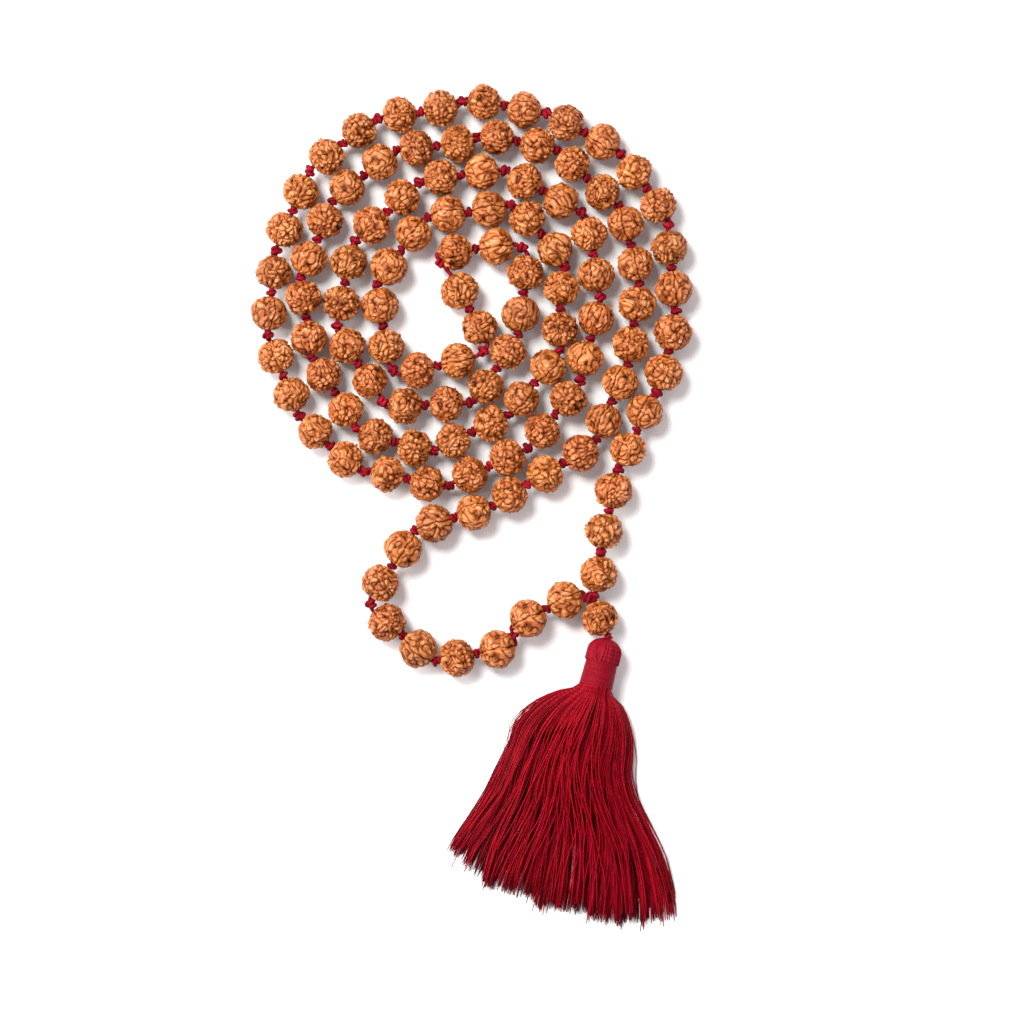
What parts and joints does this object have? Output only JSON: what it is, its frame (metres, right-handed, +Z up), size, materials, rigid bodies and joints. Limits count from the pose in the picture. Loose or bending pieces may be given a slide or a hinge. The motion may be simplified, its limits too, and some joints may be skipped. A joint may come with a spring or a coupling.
{
  "type": "mala prayer beads",
  "caption": "Coiled strand of knurled rudraksha seeds knotted on a crimson cord, closed by a guru bead and a bound cotton tassel.",
  "frame": {"origin": "foot of the guru bead, where it rests on the surface", "axes": "+Z up from the surface, +Y from the tassel towards the coil, +X to the right seen from above"},
  "size_m": [0.0931, 0.1767, 0.0073],
  "materials": {
    "rudraksha": "dry carved seed, soft sheen on the crests",
    "cord": "twisted matt cord",
    "tassel_cotton": "matt cotton threads",
    "binding_thread": "wrapped thread, slight sheen"
  },
  "bodies": {
    "coil_cord": {"cord_coil": "cord"},
    "tail_cord": {"cord_tail": "cord"},
    "guru": {"guru_bead": "rudraksha"},
    "tassel_neck": {"tassel_head": "tassel_cotton", "tassel_binding": "binding_thread"},
    "tassel_fan": {"tassel_skirt": "tassel_cotton"},
    "seed_001": {"bead_001": "rudraksha"},
    "seeds_002_003": {"beads_002_003": "rudraksha"},
    "seeds_004_005": {"beads_004_005": "rudraksha"},
    "seeds_006_007": {"beads_006_007": "rudraksha"},
    "seeds_008_009": {"beads_008_009": "rudraksha"},
    "seeds_010_011": {"beads_010_011": "rudraksha"},
    "seeds_012_013": {"beads_012_013": "rudraksha"},
    "seeds_014_015": {"beads_014_015": "rudraksha"},
    "seeds_016_017": {"beads_016_017": "rudraksha"},
    "seeds_018_019": {"beads_018_019": "rudraksha"},
    "seeds_020_021": {"beads_020_021": "rudraksha"},
    "seeds_022_023": {"beads_022_023": "rudraksha"},
    "seeds_024_025": {"beads_024_025": "rudraksha"},
    "seeds_026_027": {"beads_026_027": "rudraksha"},
    "seeds_028_029": {"beads_028_029": "rudraksha"},
    "seeds_030_031": {"beads_030_031": "rudraksha"},
    "seeds_032_033": {"beads_032_033": "rudraksha"},
    "seeds_034_035": {"beads_034_035": "rudraksha"},
    "seeds_036_037": {"beads_036_037": "rudraksha"},
    "seeds_038_039": {"beads_038_039": "rudraksha"},
    "seeds_040_041": {"beads_040_041": "rudraksha"},
    "seeds_042_043": {"beads_042_043": "rudraksha"},
    "seeds_044_045": {"beads_044_045": "rudraksha"},
    "seeds_046_047": {"beads_046_047": "rudraksha"},
    "seeds_048_049": {"beads_048_049": "rudraksha"},
    "seeds_050_051": {"beads_050_051": "rudraksha"},
    "seeds_052_053": {"beads_052_053": "rudraksha"},
    "seeds_054_055": {"beads_054_055": "rudraksha"},
    "seeds_056_057": {"beads_056_057": "rudraksha"},
    "seeds_058_059": {"beads_058_059": "rudraksha"},
    "seeds_060_061": {"beads_060_061": "rudraksha"},
    "seeds_062_063": {"beads_062_063": "rudraksha"},
    "seeds_064_065": {"beads_064_065": "rudraksha"},
    "seeds_066_067": {"beads_066_067": "rudraksha"},
    "seeds_068_069": {"beads_068_069": "rudraksha"},
    "seeds_070_071": {"beads_070_071": "rudraksha"},
    "seeds_072_073": {"beads_072_073": "rudraksha"},
    "seeds_074_075": {"beads_074_075": "rudraksha"},
    "seeds_076_077": {"beads_076_077": "rudraksha"},
    "seeds_078_079": {"beads_078_079": "rudraksha"},
    "seeds_080_081": {"beads_080_081": "rudraksha"},
    "seeds_082_083": {"beads_082_083": "rudraksha"},
    "seeds_084_085": {"beads_084_085": "rudraksha"},
    "seeds_086_087": {"beads_086_087": "rudraksha"},
    "seeds_088_089": {"beads_088_089": "rudraksha"},
    "seeds_090_091": {"beads_090_091": "rudraksha"},
    "seeds_092_093": {"beads_092_093": "rudraksha"},
    "seeds_094_095": {"beads_094_095": "rudraksha"},
    "seeds_096_098": {"beads_096_098": "rudraksha"},
    "seeds_099_100": {"beads_099_100": "rudraksha"},
    "seeds_101_102": {"beads_101_102": "rudraksha"},
    "seeds_103_104": {"beads_103_104": "rudraksha"},
    "seeds_105_106": {"beads_105_106": "rudraksha"},
    "seeds_107_108": {"beads_107_108": "rudraksha"}
  },
  "joints": [
    {"name": "lift_tail", "type": "hinge", "parent": "coil_cord", "child": "tail_cord", "pos_m": [0.00409, 0.03136, 0.00366], "axis": [-0.9581, -0.2864, 0], "range_deg": [0, 60]},
    {"name": "swing_tassel", "type": "hinge", "parent": "tail_cord", "child": "tassel_neck", "pos_m": [0.00177, -0.00397, 0.00366], "axis": [0, 0, 1], "range_deg": [-15, 30]},
    {"name": "lift_skirt", "type": "hinge", "parent": "tassel_neck", "child": "tassel_fan", "pos_m": [-0.00152, -0.01717, 0.00366], "axis": [-0.9703, 0.2419, 0], "range_deg": [0, 40]},
    {"name": "guru_turn", "type": "hinge", "parent": "tail_cord", "child": "guru", "pos_m": [0, 0, 0.00366], "axis": [0.4067, -0.9135, 0], "continuous": true},
    {"name": "turn_001", "type": "hinge", "parent": "tail_cord", "child": "seed_001", "pos_m": [-0.00015, 0.00936, 0.00366], "axis": [0.1819, 0.9833, 0], "continuous": true},
    {"name": "turn_002_003", "type": "hinge", "parent": "tail_cord", "child": "seeds_002_003", "pos_m": [0.00191, 0.02269, 0.00366], "axis": [0.2243, 0.9745, 0], "continuous": true},
    {"name": "turn_004_005", "type": "hinge", "parent": "coil_cord", "child": "seeds_004_005", "pos_m": [0.00779, 0.03953, 0.00366], "axis": [0.3989, 0.917, 0], "continuous": true},
    {"name": "turn_006_007", "type": "hinge", "parent": "coil_cord", "child": "seeds_006_007", "pos_m": [0.01447, 0.05601, 0.00366], "axis": [0.2155, 0.9765, 0], "continuous": true},
    {"name": "turn_008_009", "type": "hinge", "parent": "coil_cord", "child": "seeds_008_009", "pos_m": [0.0152, 0.07376, 0.00366], "axis": [-0.1069, 0.9943, 0], "continuous": true},
    {"name": "turn_010_011", "type": "hinge", "parent": "coil_cord", "child": "seeds_010_011", "pos_m": [0.00988, 0.09048, 0.00366], "axis": [-0.5928, 0.8053, 0], "continuous": true},
    {"name": "turn_012_013", "type": "hinge", "parent": "coil_cord", "child": "seeds_012_013", "pos_m": [-0.00314, 0.10244, 0.00366], "axis": [-0.8776, 0.4795, 0], "continuous": true},
    {"name": "turn_014_015", "type": "hinge", "parent": "coil_cord", "child": "seeds_014_015", "pos_m": [-0.02008, 0.10788, 0.00366], "axis": [-0.9811, 0.1937, 0], "continuous": true},
    {"name": "turn_016_017", "type": "hinge", "parent": "coil_cord", "child": "seeds_016_017", "pos_m": [-0.03775, 0.10669, 0.00366], "axis": [-0.9888, -0.1492, 0], "continuous": true},
    {"name": "turn_018_019", "type": "hinge", "parent": "coil_cord", "child": "seeds_018_019", "pos_m": [-0.05403, 0.09998, 0.00366], "axis": [-0.7856, -0.6187, 0], "continuous": true},
    {"name": "turn_020_021", "type": "hinge", "parent": "coil_cord", "child": "seeds_020_021", "pos_m": [-0.0646, 0.08586, 0.00366], "axis": [-0.3957, -0.9184, 0], "continuous": true},
    {"name": "turn_022_023", "type": "hinge", "parent": "coil_cord", "child": "seeds_022_023", "pos_m": [-0.06911, 0.06861, 0.00366], "axis": [-0.1151, -0.9934, 0], "continuous": true},
    {"name": "turn_024_025", "type": "hinge", "parent": "coil_cord", "child": "seeds_024_025", "pos_m": [-0.06654, 0.05114, 0.00366], "axis": [0.3666, -0.9304, 0], "continuous": true},
    {"name": "turn_026_027", "type": "hinge", "parent": "coil_cord", "child": "seeds_026_027", "pos_m": [-0.05667, 0.03645, 0.00366], "axis": [0.7328, -0.6805, 0], "continuous": true},
    {"name": "turn_028_029", "type": "hinge", "parent": "coil_cord", "child": "seeds_028_029", "pos_m": [-0.04055, 0.02942, 0.00366], "axis": [0.971, -0.2392, 0], "continuous": true},
    {"name": "turn_030_031", "type": "hinge", "parent": "coil_cord", "child": "seeds_030_031", "pos_m": [-0.02334, 0.03206, 0.00366], "axis": [0.9088, 0.4172, 0], "continuous": true},
    {"name": "turn_032_033", "type": "hinge", "parent": "coil_cord", "child": "seeds_032_033", "pos_m": [-0.00934, 0.04287, 0.00366], "axis": [0.6341, 0.7733, 0], "continuous": true},
    {"name": "turn_034_035", "type": "hinge", "parent": "coil_cord", "child": "seeds_034_035", "pos_m": [-0.00193, 0.05896, 0.00366], "axis": [0.2755, 0.9613, 0], "continuous": true},
    {"name": "turn_036_037", "type": "hinge", "parent": "coil_cord", "child": "seeds_036_037", "pos_m": [-0.00142, 0.07665, 0.00366], "axis": [-0.1607, 0.987, 0], "continuous": true},
    {"name": "turn_038_039", "type": "hinge", "parent": "coil_cord", "child": "seeds_038_039", "pos_m": [-0.01197, 0.08996, 0.00366], "axis": [-0.8771, 0.4802, 0], "continuous": true},
    {"name": "turn_040_041", "type": "hinge", "parent": "coil_cord", "child": "seeds_040_041", "pos_m": [-0.02908, 0.0934, 0.00366], "axis": [-0.992, -0.1266, 0], "continuous": true},
    {"name": "turn_042_043", "type": "hinge", "parent": "coil_cord", "child": "seeds_042_043", "pos_m": [-0.04475, 0.0857, 0.00366], "axis": [-0.7397, -0.673, 0], "continuous": true},
    {"name": "turn_044_045", "type": "hinge", "parent": "coil_cord", "child": "seeds_044_045", "pos_m": [-0.05357, 0.07069, 0.00366], "axis": [-0.1949, -0.9808, 0], "continuous": true},
    {"name": "turn_046_047", "type": "hinge", "parent": "coil_cord", "child": "seeds_046_047", "pos_m": [-0.05073, 0.05375, 0.00366], "axis": [0.5524, -0.8336, 0], "continuous": true},
    {"name": "turn_048_049", "type": "hinge", "parent": "coil_cord", "child": "seeds_048_049", "pos_m": [-0.03662, 0.04495, 0.00366], "axis": [0.9984, 0.0559, 0], "continuous": true},
    {"name": "turn_050_051", "type": "hinge", "parent": "coil_cord", "child": "seeds_050_051", "pos_m": [-0.02161, 0.05252, 0.00366], "axis": [0.5453, 0.8383, 0], "continuous": true},
    {"name": "turn_052_053", "type": "hinge", "parent": "coil_cord", "child": "seeds_052_053", "pos_m": [-0.01611, 0.06842, 0.00366], "axis": [0.1239, 0.9923, 0], "continuous": true},
    {"name": "turn_054_055", "type": "hinge", "parent": "coil_cord", "child": "seeds_054_055", "pos_m": [-0.02608, 0.07779, 0.00366], "axis": [-0.9919, -0.1272, 0], "continuous": true},
    {"name": "turn_056_057", "type": "hinge", "parent": "coil_cord", "child": "seeds_056_057", "pos_m": [-0.02739, 0.0651, 0.00366], "axis": [0.4722, -0.8815, 0], "continuous": true},
    {"name": "turn_058_059", "type": "hinge", "parent": "coil_cord", "child": "seeds_058_059", "pos_m": [-0.03407, 0.05322, 0.00366], "axis": [-0.972, -0.2351, 0], "continuous": true},
    {"name": "turn_060_061", "type": "hinge", "parent": "coil_cord", "child": "seeds_060_061", "pos_m": [-0.04556, 0.0616, 0.00366], "axis": [-0.1511, 0.9885, 0], "continuous": true},
    {"name": "turn_062_063", "type": "hinge", "parent": "coil_cord", "child": "seeds_062_063", "pos_m": [-0.04174, 0.07753, 0.00366], "axis": [0.5897, 0.8076, 0], "continuous": true},
    {"name": "turn_064_065", "type": "hinge", "parent": "coil_cord", "child": "seeds_064_065", "pos_m": [-0.02756, 0.0856, 0.00366], "axis": [0.9919, 0.1269, 0], "continuous": true},
    {"name": "turn_066_067", "type": "hinge", "parent": "coil_cord", "child": "seeds_066_067", "pos_m": [-0.01226, 0.08092, 0.00366], "axis": [0.6697, -0.7427, 0], "continuous": true},
    {"name": "turn_068_069", "type": "hinge", "parent": "coil_cord", "child": "seeds_068_069", "pos_m": [-0.00822, 0.06513, 0.00366], "axis": [-0.0216, -0.9998, 0], "continuous": true},
    {"name": "turn_070_071", "type": "hinge", "parent": "coil_cord", "child": "seeds_070_071", "pos_m": [-0.01364, 0.04954, 0.00366], "axis": [-0.6327, -0.7744, 0], "continuous": true},
    {"name": "turn_072_073", "type": "hinge", "parent": "coil_cord", "child": "seeds_072_073", "pos_m": [-0.02683, 0.03919, 0.00366], "axis": [-0.9089, -0.417, 0], "continuous": true},
    {"name": "turn_074_075", "type": "hinge", "parent": "coil_cord", "child": "seeds_074_075", "pos_m": [-0.04309, 0.03711, 0.00366], "axis": [-0.9565, 0.2917, 0], "continuous": true},
    {"name": "turn_076_077", "type": "hinge", "parent": "coil_cord", "child": "seeds_076_077", "pos_m": [-0.05577, 0.0476, 0.00366], "axis": [-0.5517, 0.8341, 0], "continuous": true},
    {"name": "turn_078_079", "type": "hinge", "parent": "coil_cord", "child": "seeds_078_079", "pos_m": [-0.06177, 0.06327, 0.00366], "axis": [-0.1432, 0.9897, 0], "continuous": true},
    {"name": "turn_080_081", "type": "hinge", "parent": "coil_cord", "child": "seeds_080_081", "pos_m": [-0.05949, 0.07978, 0.00366], "axis": [0.3922, 0.9199, 0], "continuous": true},
    {"name": "turn_082_083", "type": "hinge", "parent": "coil_cord", "child": "seeds_082_083", "pos_m": [-0.0497, 0.09333, 0.00366], "axis": [0.7853, 0.6191, 0], "continuous": true},
    {"name": "turn_084_085", "type": "hinge", "parent": "coil_cord", "child": "seeds_084_085", "pos_m": [-0.03419, 0.09948, 0.00366], "axis": [0.9922, 0.1243, 0], "continuous": true},
    {"name": "turn_086_087", "type": "hinge", "parent": "coil_cord", "child": "seeds_086_087", "pos_m": [-0.0174, 0.1004, 0.00366], "axis": [0.9802, -0.1982, 0], "continuous": true},
    {"name": "turn_088_089", "type": "hinge", "parent": "coil_cord", "child": "seeds_088_089", "pos_m": [-0.00259, 0.09272, 0.00366], "axis": [0.728, -0.6855, 0], "continuous": true},
    {"name": "turn_090_091", "type": "hinge", "parent": "coil_cord", "child": "seeds_090_091", "pos_m": [0.00657, 0.07883, 0.00366], "axis": [0.2353, -0.9719, 0], "continuous": true},
    {"name": "turn_092_093", "type": "hinge", "parent": "coil_cord", "child": "seeds_092_093", "pos_m": [0.00727, 0.06196, 0.00366], "axis": [-0.141, -0.99, 0], "continuous": true},
    {"name": "turn_094_095", "type": "hinge", "parent": "coil_cord", "child": "seeds_094_095", "pos_m": [0.0027, 0.04563, 0.00366], "axis": [-0.3981, -0.9173, 0], "continuous": true},
    {"name": "turn_096_098", "type": "hinge", "parent": "coil_cord", "child": "seeds_096_098", "pos_m": [-0.01146, 0.03045, 0.00366], "axis": [-0.8556, -0.5177, 0], "continuous": true},
    {"name": "turn_099_100", "type": "hinge", "parent": "coil_cord", "child": "seeds_099_100", "pos_m": [-0.03062, 0.02114, 0.00366], "axis": [-0.9616, -0.2744, 0], "continuous": true},
    {"name": "turn_101_102", "type": "hinge", "parent": "tail_cord", "child": "seeds_101_102", "pos_m": [-0.04369, 0.01107, 0.00366], "axis": [-0.5514, -0.8342, 0], "continuous": true},
    {"name": "turn_103_104", "type": "hinge", "parent": "tail_cord", "child": "seeds_103_104", "pos_m": [-0.04148, -0.0036, 0.00366], "axis": [0.7686, -0.6398, 0], "continuous": true},
    {"name": "turn_105_106", "type": "hinge", "parent": "tail_cord", "child": "seeds_105_106", "pos_m": [-0.02577, -0.00739, 0.00366], "axis": [0.9771, 0.213, 0], "continuous": true},
    {"name": "turn_107_108", "type": "hinge", "parent": "tail_cord", "child": "seeds_107_108", "pos_m": [-0.01118, 0.00196, 0.00366], "axis": [0.8964, 0.4432, 0], "continuous": true}
  ]
}
